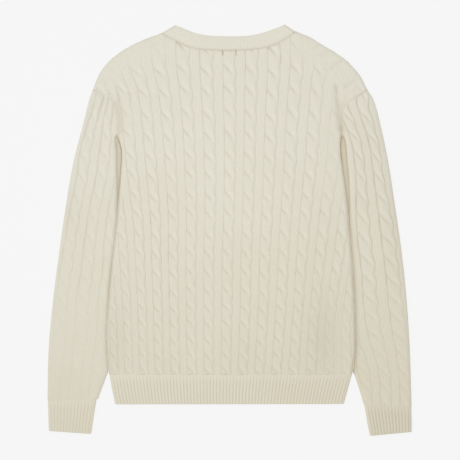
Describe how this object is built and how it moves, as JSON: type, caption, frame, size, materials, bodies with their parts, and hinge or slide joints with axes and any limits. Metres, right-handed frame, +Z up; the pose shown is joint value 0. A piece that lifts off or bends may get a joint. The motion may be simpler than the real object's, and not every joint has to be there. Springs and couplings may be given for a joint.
{
  "type": "cable knit sweater",
  "caption": "Round-neck pullover sweater in rope cable knit with ribbed neckband, cuffs and hem, laid flat with its back up.",
  "frame": {"origin": "middle of the box round the garment, on the surface that it lies on", "axes": "+Z up out of the garment's back, +Y from the hem to the neck, +X to the right seen from above"},
  "size_m": [0.6566, 0.7412, 0.012],
  "materials": {
    "cable_knit": "soft cream wool-blend cable knit with a short fuzz",
    "rib_knit": "soft cream rib knit"
  },
  "bodies": {
    "root": {"back_panel": "cable_knit", "front_panel": "cable_knit", "sleeve_left": "cable_knit", "sleeve_right": "cable_knit", "cuff_left": "rib_knit", "cuff_right": "rib_knit", "hem_band": "rib_knit", "neckband": "rib_knit"}
  },
  "joints": []
}
